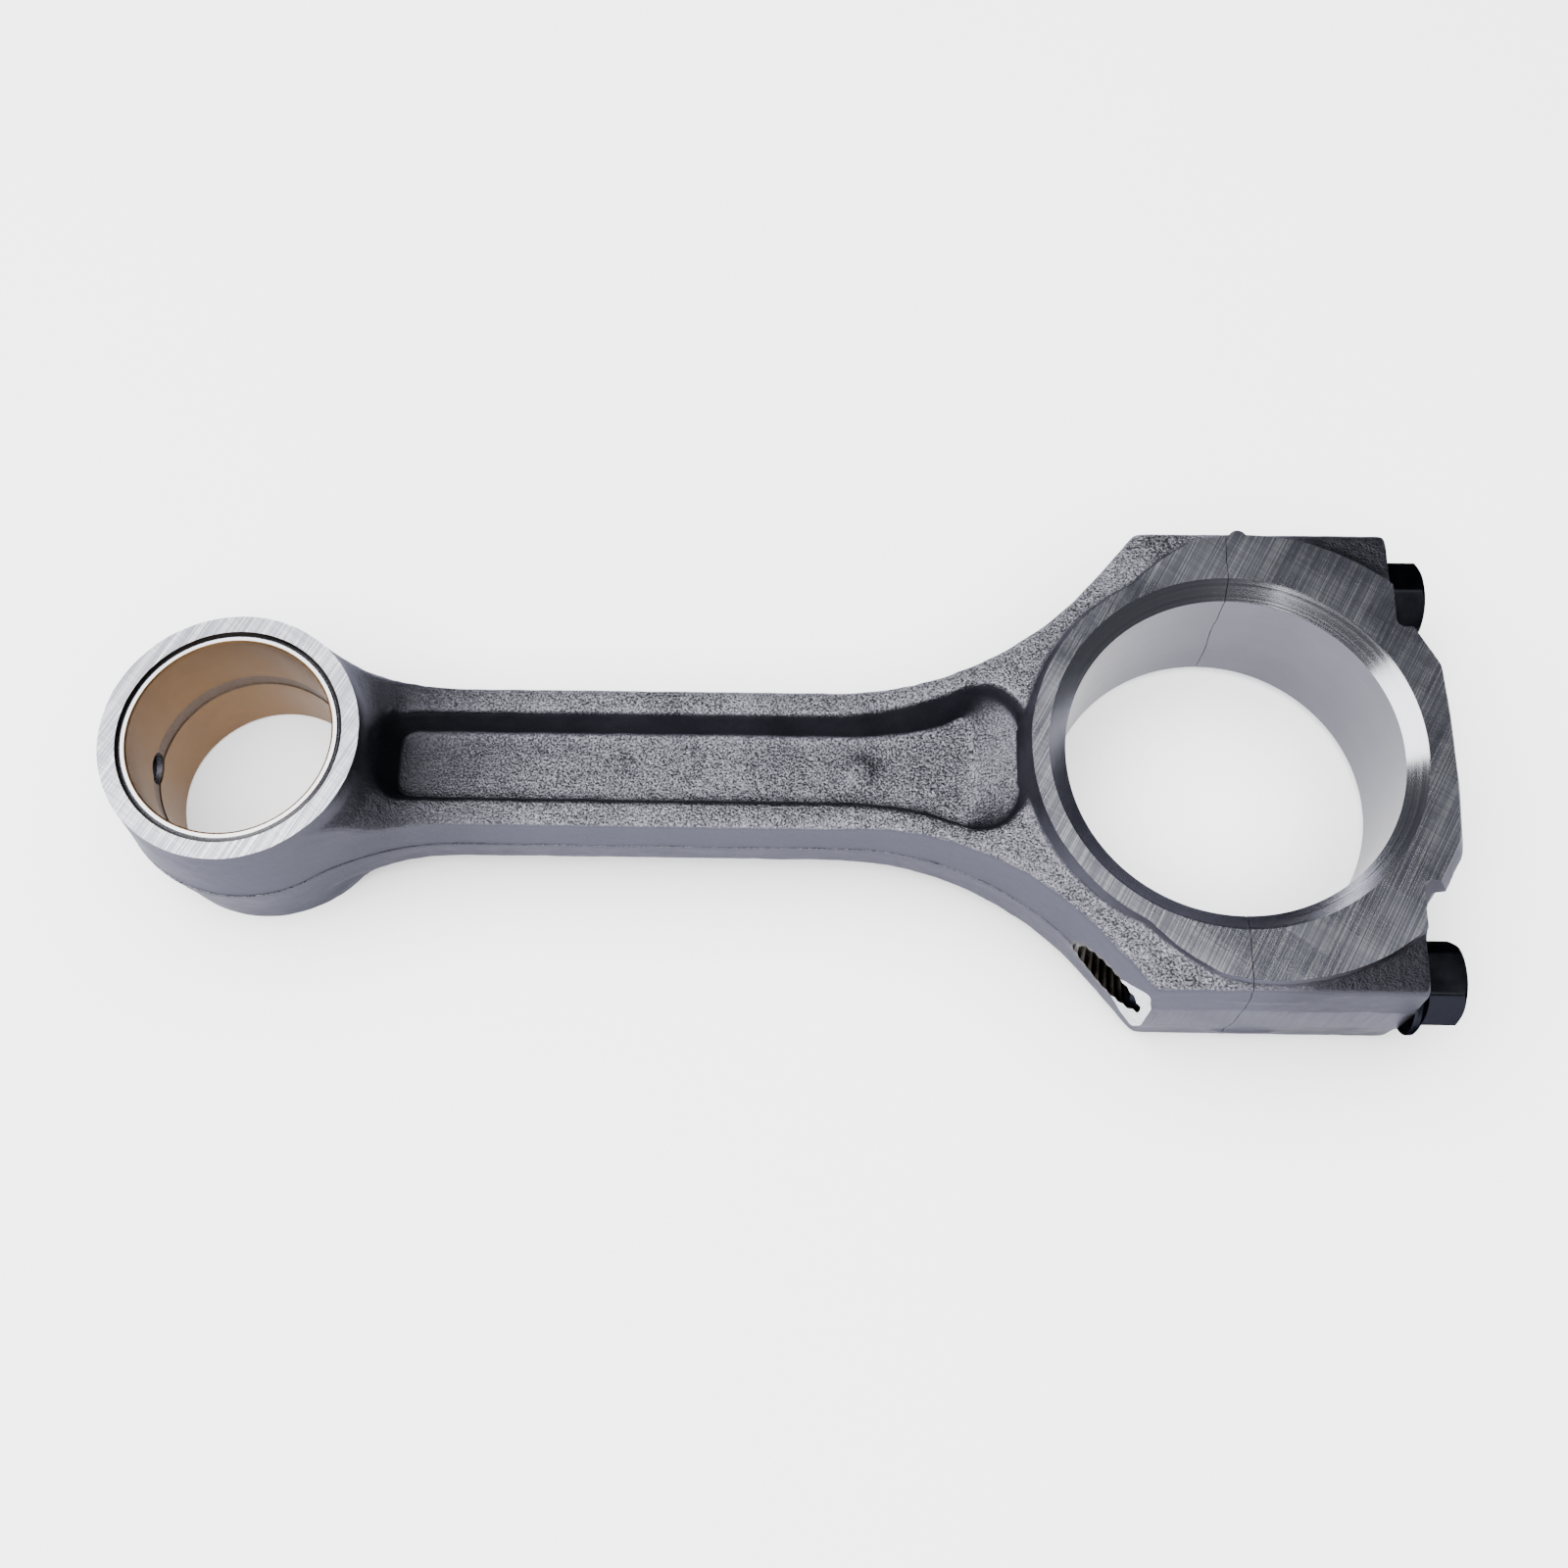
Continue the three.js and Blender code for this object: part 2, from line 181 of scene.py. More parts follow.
def closed(half):
    """A whole outline from its +Y half, which is listed from -X to +X, without repeated points."""
    whole = half + [(x, -y) for x, y in reversed(half)]
    return [p for i, p in enumerate(whole) if math.dist(p, whole[i - 1]) > 0.05]


def offset(outline, out):
    """The outline moved outwards by that much all round. It runs clockwise."""
    moved = []
    for i, here in enumerate(outline):
        before, after = outline[i - 1], outline[(i + 1) % len(outline)]
        into = Vector((here[0] - before[0], here[1] - before[1])).normalized()
        away = Vector((after[0] - here[0], after[1] - here[1])).normalized()
        along = (into + away).normalized()
        normal = Vector((-along.y, along.x))
        stretch = min(2.0, 1 / max(0.4, normal.dot(Vector((-into.y, into.x)))))
        moved.append((here[0] + normal.x * out * stretch, here[1] + normal.y * out * stretch))
    return moved


def deselect():
    """Nothing stays selected, because an operator acts on all that is."""
    bpy.ops.object.select_all(action="DESELECT")


def select_vertices(piece, wanted):
    """In edit mode, selects the vertices that the test accepts, and nothing else."""
    bpy.ops.object.mode_set(mode="OBJECT")
    for polygon in piece.data.polygons:
        polygon.select = False
    for edge in piece.data.edges:
        edge.select = False
    for vertex in piece.data.vertices:
        vertex.select = wanted(vertex.co)
    bpy.ops.object.mode_set(mode="EDIT")
    bpy.ops.mesh.select_mode(type="VERT")


def close_up(piece):
    """Merges doubled vertices, turns the faces outwards and goes back to object mode."""
    bpy.ops.object.mode_set(mode="EDIT")
    bpy.ops.mesh.select_all(action="SELECT")
    bpy.ops.mesh.remove_doubles(threshold=0.002 * MM)
    bpy.ops.mesh.normals_make_consistent(inside=False)
    bpy.ops.object.mode_set(mode="OBJECT")
    return piece


def plate(name, points):
    """A filled ring whose corners are moved to the given places, in the frame."""
    deselect()
    bpy.ops.mesh.primitive_circle_add(vertices=len(points), radius=1, fill_type="NGON")
    piece = bpy.context.object
    piece.name = name
    for vertex, point in zip(piece.data.vertices, points):
        vertex.co = point
    return piece


def at(x, y, z):
    """A place given in millimetres from the middle of the big-end bore."""
    return BORE_CENTRE + Vector((x, y, z)) * MM


def lofted(name, sections):
    """A plate extruded from section to section. Each is (outline, height), all with as many corners."""
    outline, height = sections[0]
    piece = plate(name, [at(x, y, height) for x, y in outline])
    for following, height in sections[1:]:
        bpy.ops.object.mode_set(mode="EDIT")
        bpy.ops.mesh.extrude_region_move(TRANSFORM_OT_translate={"value": (0, 0, 1)})
        bpy.ops.object.mode_set(mode="OBJECT")
        corners = [at(x, y, 0).to_2d() for x, y in outline]
        for vertex in piece.data.vertices:
            if vertex.select:
                gaps = [(corner - vertex.co.to_2d()).length for corner in corners]
                vertex.co = at(*following[gaps.index(min(gaps))], height)
        outline = following
    return close_up(piece)


def turned(name, profile, centre=(0, 0, 0), axis=(0, 0, 1), steps=128):
    """A closed profile of (radius, height) corners in millimetres, spun round an axis."""
    middle, axis = at(*centre), Vector(axis)
    out = axis.orthogonal().normalized()
    piece = plate(name, [middle + (out * radius + axis * height) * MM for radius, height in profile])
    bpy.ops.object.mode_set(mode="EDIT")
    bpy.ops.mesh.select_all(action="SELECT")
    bpy.ops.mesh.delete(type="ONLY_FACE")
    bpy.ops.mesh.select_all(action="SELECT")
    bpy.ops.mesh.spin(steps=steps, angle=2 * math.pi, center=middle, axis=axis)
    return close_up(piece)


def mirrored(profile):
    """A whole profile from half of one, which ends at the middle of its height."""
    return profile + [(radius, -height) for radius, height in reversed(profile)]


def block(name, low, high):
    """A box between two corners, for cutting with."""
    deselect()
    middle = (Vector(low) + Vector(high)) / 2
    bpy.ops.mesh.primitive_cube_add(size=1, location=at(*middle), scale=(Vector(high) - Vector(low)) * MM)
    bpy.ops.object.transform_apply(location=True, rotation=True, scale=True)
    bpy.context.object.name = name
    return bpy.context.object


def settle(piece, kind, **settings):
    """Puts a modifier on a piece and applies it."""
    deselect()
    bpy.context.view_layer.objects.active = piece
    piece.select_set(True)
    modifier = piece.modifiers.new(kind.title(), kind)
    for name, value in settings.items():
        setattr(modifier, name, value)
    bpy.ops.object.modifier_apply(modifier=modifier.name)


def machine(piece, tool, operation="DIFFERENCE", keep=False):
    """Cuts a tool out of a piece, joins it on, or keeps only what lies in it."""
    settle(piece, "BOOLEAN", object=tool, operation=operation, solver="MANIFOLD")
    if not keep:
        bpy.data.objects.remove(tool)


def flipped(piece):
    """A copy of a piece on the other side of the parting plane."""
    deselect()
    piece.select_set(True)
    bpy.context.view_layer.objects.active = piece
    bpy.ops.object.duplicate()
    twin = bpy.context.object
    for vertex in twin.data.vertices:
        vertex.co.z = 2 * BORE_CENTRE.z - vertex.co.z
    return close_up(twin)


def shoulder_centre():
    """Where the round shoulder is struck from, so that its slope meets the back of the bolt column."""
    top = SHANK + SHOULDER_RADIUS * (1 - math.cos(SHOULDER_SLOPE))
    straight = (COLUMN_Y + COLUMN_STOCK - top) / math.tan(SHOULDER_SLOPE)
    return COLUMN_BACK - straight - SHOULDER_RADIUS * math.sin(SHOULDER_SLOPE)


def forging_outline():
    """Plan at the parting line: eye side, neck, shank, shoulder, bolt column and cap."""
    neck_x = -CENTRES + math.sqrt((EYE_PARTING + NECK_RADIUS) ** 2 - (SHANK + NECK_RADIUS) ** 2)
    turn = math.asin((neck_x + CENTRES) / (EYE_PARTING + NECK_RADIUS))
    quarter = math.pi / 2
    half = [(-CENTRES, 2)]
    half += arc(neck_x, SHANK + NECK_RADIUS, NECK_RADIUS, -quarter - turn, -quarter)
    middle = shoulder_centre()
    half += arc(middle, SHANK + SHOULDER_RADIUS, SHOULDER_RADIUS, -quarter, SHOULDER_SLOPE - quarter, 16)
    side = COLUMN_Y + COLUMN_STOCK
    half += [(COLUMN_BACK, side), (0, side), (SEAT + STOCK, side), (SEAT + STOCK + 1, STEP_Y + 2)]
    half += curve((SEAT + 6, STEP_Y), (43.4, 17), (43.6, 0.8), 8)
    return closed(half)


def face_outline():
    """Plan of the big end's ground face: ring, flare to the split, and the arc of the cap."""
    half = arc(0, 0, RING, math.pi - 0.02, math.radians(118), 24)
    half += curve(half[-1], (-13.5, 41.5), (-6, 45.6), 6)
    half += curve((-6, 45.6), (-2, 46.6), (2, 46.9), 3)
    half += curve((2, 46.9), (21, 47.6), (SEAT + STOCK, 34.6), 10)
    half += [(36.4, 27), (38.4, 23.4), (41.2, 18.4)]
    half += curve((41.2, 18.4), (41.9, 9), (41.9, 0.6), 6)
    return closed(half)


def pocket_outline():
    """Plan of the pocket between the flanges at its mouth, wide and round beside the big end."""
    inside = SHANK - FLANGE
    start, corner = -CENTRES + EYE_PARTING + 1.0, 6
    half = [(start, 0.8)] + curve((start, inside - corner), (start, inside), (start + corner, inside), 6)
    radius = SHOULDER_RADIUS + FLANGE
    middle = shoulder_centre()
    turn = math.asin((-53.5 - middle) / radius)
    half += arc(middle, SHANK + SHOULDER_RADIUS, radius, -math.pi / 2, turn - math.pi / 2, 10)
    half += curve(half[-1], (-46.5, 16.6), (-42.8, 9.4), 8)[1:]
    half += curve(half[-1], (-41.2, 5), (-41.2, 0.8), 4)[1:]
    return closed(half)


# The struck body, drafted both ways, then thinned along the shank by a block above and one below. Towards
# the big end the face of each block climbs back to the full height of the forging.
outline = forging_outline()
top = offset(outline, -DRAFT * FORGED_TOP)
body = lofted("rod_blank", [(top, -FORGED_TOP), (outline, 0), (top, FORGED_TOP)])
RISE_START, RISE_END = -80, -14
for side in (-1, 1):
    thinning = block("thinning", (PAST_EYE, -CLEAR, FLANGE_TOP), (RISE_END, CLEAR, 40))
    bpy.ops.object.mode_set(mode="EDIT")
    bpy.ops.mesh.select_all(action="SELECT")
    bpy.ops.mesh.bisect(plane_co=at(RISE_START, 0, 0), plane_no=(1, 0, 0))
    bpy.ops.object.mode_set(mode="OBJECT")
    for vertex in thinning.data.vertices:
        if vertex.co.z < at(0, 0, FLANGE_TOP + 1).z and vertex.co.x > at(RISE_START + 1, 0, 0).x:
            vertex.co.z = at(0, 0, FORGED_TOP + 0.2).z
    for vertex in thinning.data.vertices:
        vertex.co.z = BORE_CENTRE.z + side * (vertex.co.z - BORE_CENTRE.z)
    close_up(thinning)
    machine(body, thinning)

# The flanges sweep up to the eye in a hollow blend, given as (out from the eye, height) pairs, and the
# pocket between them runs out in a slope towards the big end.
BLEND = ((11, 9), (7, 10.6), (3.5, 12.6), (1.2, 15.4), (0, 18))
blend_profile = [(0, BLEND[0][1]), *[(EYE + out, height) for out, height in BLEND], (0, BLEND[-1][1])]
blend = turned("neck_blend", blend_profile, centre=(-CENTRES, 0, 0))
machine(blend, lofted("neck_plan", [(top, 5), (top, 25)]), "INTERSECT")
for extra in (flipped(blend), blend):
    machine(body, extra, "UNION")
POCKET_LEAN, RUN_OUT_START, RUN_OUT = 2.6, -58, 0.5
mouth = pocket_outline()
bottom = [(x - RUN_OUT * max(0, x - RUN_OUT_START), y) for x, y in offset(mouth, -POCKET_LEAN)]
above = [(offset(mouth, out), height) for out, height in ((1.6, 15), (3, 30))]
pocket = lofted("pocket", [(bottom, WEB_TOP), (mouth, FLANGE_TOP), *above])
machine(body, flipped(pocket))
machine(body, pocket)

# Bosses that the ground faces are cut from, the eye, and the low round mark of the ejector pin. All are
# struck in the same blow, so they are joined on before the corners are rounded.
BOSS_FOOT = 12
face = face_outline()
foot = offset(face, FACE_DRAFT * (BIG_FACE - BOSS_FOOT))
boss = lofted("big_end_boss", [(foot, BOSS_FOOT), (face, BIG_FACE), (face, BIG_FACE + STOCK)])
eye_upper = [(EYE, SMALL_FACE), (EYE, SMALL_FACE + STOCK), (0, SMALL_FACE + STOCK)]
eye_lower = [(radius, -height) for radius, height in reversed(eye_upper)]
eye = turned("eye_blank", [*eye_lower, (EYE_PARTING, 0), *eye_upper], centre=(-CENTRES, 0, 0))
MARK_X, MARK_RADIUS, MARK_TOP = -74, 3.4, 4.5
mark_profile = [(0, 0), (MARK_RADIUS, 0), (MARK_RADIUS - 0.3, 3.6), (2.2, 4.3), (0, MARK_TOP)]
mark = turned("ejector_mark", mark_profile, centre=(MARK_X, 0, 0), steps=32)
for extra in (flipped(boss), boss, eye, flipped(mark), mark):
    machine(body, extra, "UNION")
settle(body, "REMESH", mode="VOXEL", voxel_size=VOXEL)
settle(body, "SMOOTH", factor=0.5, iterations=9)
DIE_WEAR = ((7.0, 0.10), (2.6, 0.05))
outward = [vertex.normal.copy() for vertex in body.data.vertices]
for vertex, normal in zip(body.data.vertices, outward):
    lift = sum(noise.noise(vertex.co / (size * MM)) * height for size, height in DIE_WEAR)
    vertex.co += normal * lift * MM

# The parting line: a thin raised edge where the flash was trimmed off all round, on the rod and cap
# and on the eye.
TRIM_OUT, TRIM_HALF, TRIM_FOOT = 0.14, 0.35, 0.55
trimmed = offset(outline, TRIM_OUT)
levels = [(outline, -TRIM_FOOT), (trimmed, -TRIM_HALF), (trimmed, TRIM_HALF), (outline, TRIM_FOOT)]
machine(body, lofted("trim_line", levels), "UNION")
eye_trim = mirrored([(EYE, -TRIM_FOOT - 0.05), (EYE_PARTING + TRIM_OUT, -TRIM_HALF)])
machine(body, turned("eye_trim", eye_trim, centre=(-CENTRES, 0, 0)), "UNION")

# A round rib stands on the far side of the cap, right beside the split. It is forged on, and ends flush
# with the ground face.
RIB_X, RIB_Y, RIB_RADIUS, RIB_FOOT = 2.75, 46.2, 1.9, 6
rib_profile = [(0, RIB_FOOT), (RIB_RADIUS, RIB_FOOT), (RIB_RADIUS, 24), (0, 24)]
machine(body, turned("side_rib", rib_profile, centre=(RIB_X, RIB_Y, 0), steps=32), "UNION")

# Machining. Both pairs of faces are ground, the column sides are milled, the bores are turned, and an oil
# hole is drilled down through the crown of the eye.
BIG_END_REACH, SMALL_END_REACH = -80, -140
for side in (-1, 1):
    big = sorted((side * BIG_FACE, side * CLEAR))
    small = sorted((side * SMALL_FACE, side * CLEAR))
    machine(body, block("grinding", (BIG_END_REACH, -CLEAR, big[0]), (CLEAR, CLEAR, big[1])))
    machine(body, block("grinding", (PAST_EYE, -CLEAR, small[0]), (SMALL_END_REACH, CLEAR, small[1])))
    flat = sorted((side * COLUMN_Y, side * 80))
    machine(body, block("milling", (-48, flat[0], -CLEAR), (CLEAR, flat[1], CLEAR)))

CHAMFER_DEPTH, CHAMFER_WIDTH = 3.3, 3.6
bore_radius = BIG_BORE / 2
face_radius = bore_radius + CHAMFER_WIDTH
bore_profile = [(0, -BIG_FACE - 1), (face_radius + CHAMFER_WIDTH / CHAMFER_DEPTH, -BIG_FACE - 1)]
bore_profile.append((bore_radius, -BIG_FACE + CHAMFER_DEPTH))
machine(body, turned("big_bore", mirrored(bore_profile), steps=256))
EYE_CHAMFER = 0.55
eye_profile = [(0, -SMALL_FACE - 1), (BUSH_RADIUS + EYE_CHAMFER + 1, -SMALL_FACE - 1)]
eye_profile.append((BUSH_RADIUS, -SMALL_FACE + EYE_CHAMFER))
machine(body, turned("eye_bore", mirrored(eye_profile), centre=(-CENTRES, 0, 0), steps=192))
OIL_RADIUS = 3.4


def oil_drill():
    """The drill that goes down through the crown of the eye, and later through the bush as well."""
    profile = [(0, -8), (OIL_RADIUS, -8), (OIL_RADIUS, 12), (0, 12)]
    return turned("oil_drill", profile, centre=(-CENTRES - EYE, 0, 0), axis=(-1, 0, 0), steps=48)


machine(body, oil_drill())

# Bolt seats with a round inner corner, and the ground relief where the bolt hole breaks out.
SEAT_FILLET = 1.6
RELIEF_TURN, RELIEF_Y, RELIEF_LENGTH = math.radians(46), COLUMN_Y - 1.1, 17
for side in (-1, 1):
    near = sorted((side * STEP_Y, side * 80))
    seat = block("seat_milling", (SEAT, near[0], -CLEAR), (80, near[1], CLEAR))
    corner = at(SEAT, side * STEP_Y, 0)
    bpy.ops.object.mode_set(mode="EDIT")
    select_vertices(seat, lambda co: (co.to_2d() - corner.to_2d()).length < 0.01 * MM)
    bpy.ops.mesh.bevel(offset=SEAT_FILLET * MM, segments=6)
    bpy.ops.object.mode_set(mode="OBJECT")
    machine(body, close_up(seat))
    start = (COLUMN_BACK - RELIEF_LENGTH, RELIEF_Y, -CLEAR)
    relief = block("relief_grinding", start, (CLEAR, RELIEF_Y + 40, CLEAR))
    for vertex in relief.data.vertices:
        place = vertex.co - at(COLUMN_BACK, RELIEF_Y, 0)
        x = place.x * math.cos(RELIEF_TURN) - place.y * math.sin(RELIEF_TURN)
        y = place.x * math.sin(RELIEF_TURN) + place.y * math.cos(RELIEF_TURN)
        vertex.co.x = BORE_CENTRE.x + COLUMN_BACK * MM + x
        vertex.co.y = side * (RELIEF_Y * MM + y)
    machine(body, close_up(relief))

# Tapped holes: a drill point, then a fine thread up to the split, then a plain clearance hole in the cap.
# The thread is drawn as rings, with room for the bolt's own thread between them.
PITCH, HOLE_RADIUS, THREAD_DEPTH = 1.5, 6.15, 0.75
HOLE_POINT, HOLE_END, THREAD_START, THREAD_STOP = -38.5, -35, -34.5, -1
drill = [(0, HOLE_POINT), (HOLE_RADIUS, HOLE_END)]
x = THREAD_START
while x < THREAD_STOP:
    drill += [(HOLE_RADIUS, x), (HOLE_RADIUS + THREAD_DEPTH, x + PITCH / 2)]
    x += PITCH
drill += [(HOLE_RADIUS, -0.8), (HOLE_RADIUS + 0.15, SEAT + 10), (0, SEAT + 10)]
for side in (-1, 1):
    machine(body, turned("tap", drill, centre=(0, side * BOLT_Y, 0), axis=(1, 0, 0), steps=64))

# The cap is cracked off at the middle of the bore: a rough break, the same on both pieces. Its waves are
# given as (size, height) pairs, and the gap is a little wider than real so that the crack line shows.
CRACK_GAP = 0.16
BREAK = ((9.0, 0.55), (1.8, 0.22), (0.8, 0.10))
BREAK_CUTS = 180
crack = block("crack", (0, -70, -30), (80, 70, 30))
bpy.ops.object.mode_set(mode="EDIT")
select_vertices(crack, lambda co: abs(co.x - BORE_CENTRE.x) < 0.01 * MM)
bpy.ops.mesh.subdivide(number_cuts=BREAK_CUTS)
bpy.ops.object.mode_set(mode="OBJECT")
for vertex in crack.data.vertices:
    if abs(vertex.co.x - BORE_CENTRE.x) < 0.01 * MM:
        wave = sum(noise.noise(vertex.co / (size * MM)) * height for size, height in BREAK)
        vertex.co.x += wave * MM
deselect()
body.select_set(True)
bpy.context.view_layer.objects.active = body
bpy.ops.object.duplicate()
cap = bpy.context.object
cap.name = "cap_visual"
body.name = "rod_visual"
machine(body, crack, keep=True)
for vertex in crack.data.vertices:
    vertex.co.x += CRACK_GAP * MM
machine(cap, crack, "INTERSECT")


def in_millimetres(material):
    """The place on the piece in millimetres from the frame's origin, for patterns of a real size."""
    place = add(material, "TexCoord").outputs["Object"]
    return add(material, "VectorMath", {0: place, "Scale": 1 / MM}, operation="SCALE")


def grain(material, place, size, detail=2.0, stretch=(1, 1, 1), turn=0.0):
    """Noise of one grain size in millimetres, drawn out and turned about Z where a tool ran along."""
    turned_place = add(material, "Mapping", {"Vector": place, "Rotation": (0, 0, turn)})
    drawn = add(material, "VectorMath", {0: turned_place, 1: stretch}, operation="DIVIDE")
    pattern = {"Vector": drawn, "Scale": 1 / size, "Detail": detail, "Roughness": 0.6}
    return add(material, "TexNoise", pattern).outputs[0]


def metal(name, build, glancing="ffffff"):
    """A metal. Its build function gives colour, roughness, height and the height's scale in millimetres."""
    material, surface = blank(name)
    colour, roughness, height, depth = build(material, in_millimetres(material))
    bump = add(material, "Bump", {"Height": height, "Strength": 1.0, "Distance": depth * MM})
    skin = {"Base Color": colour, "Roughness": roughness, "Normal": bump, "Metallic": 1.0}
    skin["Specular Tint"] = linear(glancing)
    shader = add(material, "BsdfPrincipled", skin)
    material.node_tree.links.new(surface, shader.outputs[0])
    return material


# Shot-blasted forging steel. Dents of about half a millimetre sparkle on the flats. The walls that slid
# along the die are smoother, and their darker colour is partly a duller skin and partly painted shade. The
# neck beside the eye is painted dark as painted shade, and the cap's end is painted darker.
FACTOR, FIRST, SECOND, MIXED = 0, 6, 7, 2
NECK_SHADE_X, NECK_SHADE_CORE, NECK_SHADE_REACH = -79, 2, 33
CAP_DARKEST, CAP_DARK_END = 104, 93


def upward(material):
    """1 on faces that look up or down, where the shot struck squarely, and 0 on the drafted sides."""
    normal = add(material, "TexCoord").outputs["Normal"]
    rise = add(material, "SeparateXYZ", {0: normal}).outputs["Z"]
    steep = add(material, "Math", {0: rise}, operation="ABSOLUTE")
    return add(material, "MapRange", {"Value": steep, "From Min": 0.5, "From Max": 0.92})


def clear_of_neck_shade_and_cap_dark(material, place):
    """1 where the steel is not painted dark, and 0 at the neck, where shade is painted, and at the cap's
    end, which is painted darker.
    """
    x = add(material, "SeparateXYZ", {0: place}).outputs["X"]
    past_neck = add(material, "Math", {0: x, 1: -NECK_SHADE_X}, operation="ADD")
    from_neck = add(material, "Math", {0: past_neck}, operation="ABSOLUTE")
    neck = {"Value": from_neck, "From Min": NECK_SHADE_CORE, "From Max": NECK_SHADE_REACH}
    end = {"Value": x, "From Min": CAP_DARKEST, "From Max": CAP_DARK_END}
    ramps = {0: add(material, "MapRange", neck), 1: add(material, "MapRange", end)}
    return add(material, "Math", ramps, operation="MULTIPLY")


def shot_blasted(material, place):
    flat = upward(material)
    dents = grain(material, place, 0.42, 3)
    scale_pits = grain(material, place, 1.7, 2)
    patches = grain(material, place, 14, 4)
    faint_patches = add(material, "Math", {0: patches, 1: 0.25}, operation="MULTIPLY")
    mottle = add(material, "Math", {0: dents, 1: faint_patches}, operation="ADD")
    light = add(material, "MapRange", {"Value": mottle, "From Min": 0.52, "From Max": 0.86})
    shades = {FACTOR: light, FIRST: linear("3d3d43"), SECOND: linear("c6c5cf")}
    top = add(material, "Mix", shades, data_type="RGBA").outputs[MIXED]
    # Painted shade, in part: the drafted sides take a much darker colour than the flats, for a duller skin
    # and for the dimmer light they catch.
    shades = {FACTOR: patches, FIRST: linear("3a3a42"), SECOND: linear("4f4f58")}
    side = add(material, "Mix", shades, data_type="RGBA").outputs[MIXED]
    shades = {FACTOR: flat, FIRST: side, SECOND: top}
    steel = add(material, "Mix", shades, data_type="RGBA").outputs[MIXED]
    # Painted shade: the neck beside the eye is painted dark where it lies in shade, and the cap's end is
    # painted darker as well.
    shades = {FACTOR: clear_of_neck_shade_and_cap_dark(material, place), FIRST: linear("3c3c42"), SECOND: steel}
    colour = add(material, "Mix", shades, data_type="RGBA").outputs[MIXED]
    spread = {"Value": patches, "From Min": 0.3, "From Max": 0.7, "To Min": 0.36, "To Max": 0.5}
    roughness = add(material, "MapRange", spread)
    share = add(material, "MapRange", {"Value": flat, "To Min": 0.16})
    pitted = add(material, "Math", {0: dents, 1: scale_pits}, operation="ADD")
    height = add(material, "Math", {0: share, 1: pitted}, operation="MULTIPLY")
    return colour, roughness, height, 0.34


# Ground steel is bright. The wheel left fine straight scratches, crossed by fainter ones from a second
# pass, and the sheen varies softly from place to place.
def ground(material, place):
    first = grain(material, place, 0.24, 2, (110, 1, 1), math.radians(-62))
    second = grain(material, place, 0.28, 2, (70, 1, 1), math.radians(35))
    broad = grain(material, place, 16, 2)
    faint = add(material, "Math", {0: second, 1: 0.3}, operation="MULTIPLY")
    crossed = add(material, "Math", {0: first, 1: faint}, operation="ADD")
    bright = add(material, "MapRange", {"Value": crossed, "From Min": 0.6, "From Max": 0.9})
    shades = {FACTOR: bright, FIRST: linear("9a9ba7"), SECOND: linear("f6f6fa")}
    colour = add(material, "Mix", shades, data_type="RGBA").outputs[MIXED]
    spread = {"Value": broad, "From Min": 0.35, "From Max": 0.65, "To Min": 0.24, "To Max": 0.33}
    return colour, add(material, "MapRange", spread), crossed, 0.035


# Bored steel is a satin turned wall, with rings a third of a millimetre apart and a few black pits.
def bored(material, place):
    rings = grain(material, place, 0.3, 2, (400, 400, 1))
    soft = grain(material, place, 22, 2)
    cells = add(material, "TexVoronoi", {"Vector": place, "Scale": 1 / 7}).outputs["Distance"]
    spread = {"Value": cells, "From Min": 0.03, "From Max": 0.05, "To Min": 1, "To Max": 0}
    specks = add(material, "MapRange", spread)
    spread = {"Value": grain(material, place, 9), "From Min": 0.55, "From Max": 0.6}
    pitted = {0: specks, 1: add(material, "MapRange", spread)}
    pit = add(material, "Math", pitted, operation="MULTIPLY")
    shades = {FACTOR: soft, FIRST: linear("43434c"), SECOND: linear("565660")}
    wall = add(material, "Mix", shades, data_type="RGBA").outputs[MIXED]
    shades = {FACTOR: pit, FIRST: wall, SECOND: linear("17171b")}
    colour = add(material, "Mix", shades, data_type="RGBA").outputs[MIXED]
    spread = {"Value": rings, "From Min": 0.3, "From Max": 0.7, "To Min": 0.27, "To Max": 0.36}
    return colour, add(material, "MapRange", spread), rings, 0.006


# The mouth of the bore is turned last with a keen tool, so it is nearly a mirror with fine rings.
def keen_turned(material, place):
    rings = grain(material, place, 0.22, 2, (400, 400, 1))
    shades = {FACTOR: rings, FIRST: linear("b2b2ba"), SECOND: linear("d4d4dc")}
    colour = add(material, "Mix", shades, data_type="RGBA").outputs[MIXED]
    spread = {"Value": rings, "From Min": 0.3, "From Max": 0.7, "To Min": 0.12, "To Max": 0.2}
    return colour, add(material, "MapRange", spread), rings, 0.008


# Milled steel on the bolt seats and column sides is even and dark, with faint brown oil stains.
def milled(material, place):
    marks = grain(material, place, 0.5, 2, (1, 1, 30))
    stains = grain(material, place, 3.2, 4)
    spread = {"Value": stains, "From Min": 0.6, "From Max": 0.68, "To Min": 0, "To Max": 0.55}
    stain = add(material, "MapRange", spread)
    shades = {FACTOR: marks, FIRST: linear("3a3a42"), SECOND: linear("484852")}
    clean = add(material, "Mix", shades, data_type="RGBA").outputs[MIXED]
    shades = {FACTOR: stain, FIRST: clean, SECOND: linear("322a25")}
    colour = add(material, "Mix", shades, data_type="RGBA").outputs[MIXED]
    spread = {"Value": marks, "From Min": 0.3, "From Max": 0.7, "To Min": 0.36, "To Max": 0.46}
    return colour, add(material, "MapRange", spread), marks, 0.012


# Cracked steel is crystalline and catches the light in points, with no tool marks.
def cracked(material, place):
    crystals = grain(material, place, 0.35, 4)
    shades = {FACTOR: crystals, FIRST: linear("48484e"), SECOND: linear("92929a")}
    colour = add(material, "Mix", shades, data_type="RGBA").outputs[MIXED]
    roughness = add(material, "MapRange", {"Value": crystals, "To Min": 0.35, "To Max": 0.6})
    return colour, roughness, crystals, 0.3
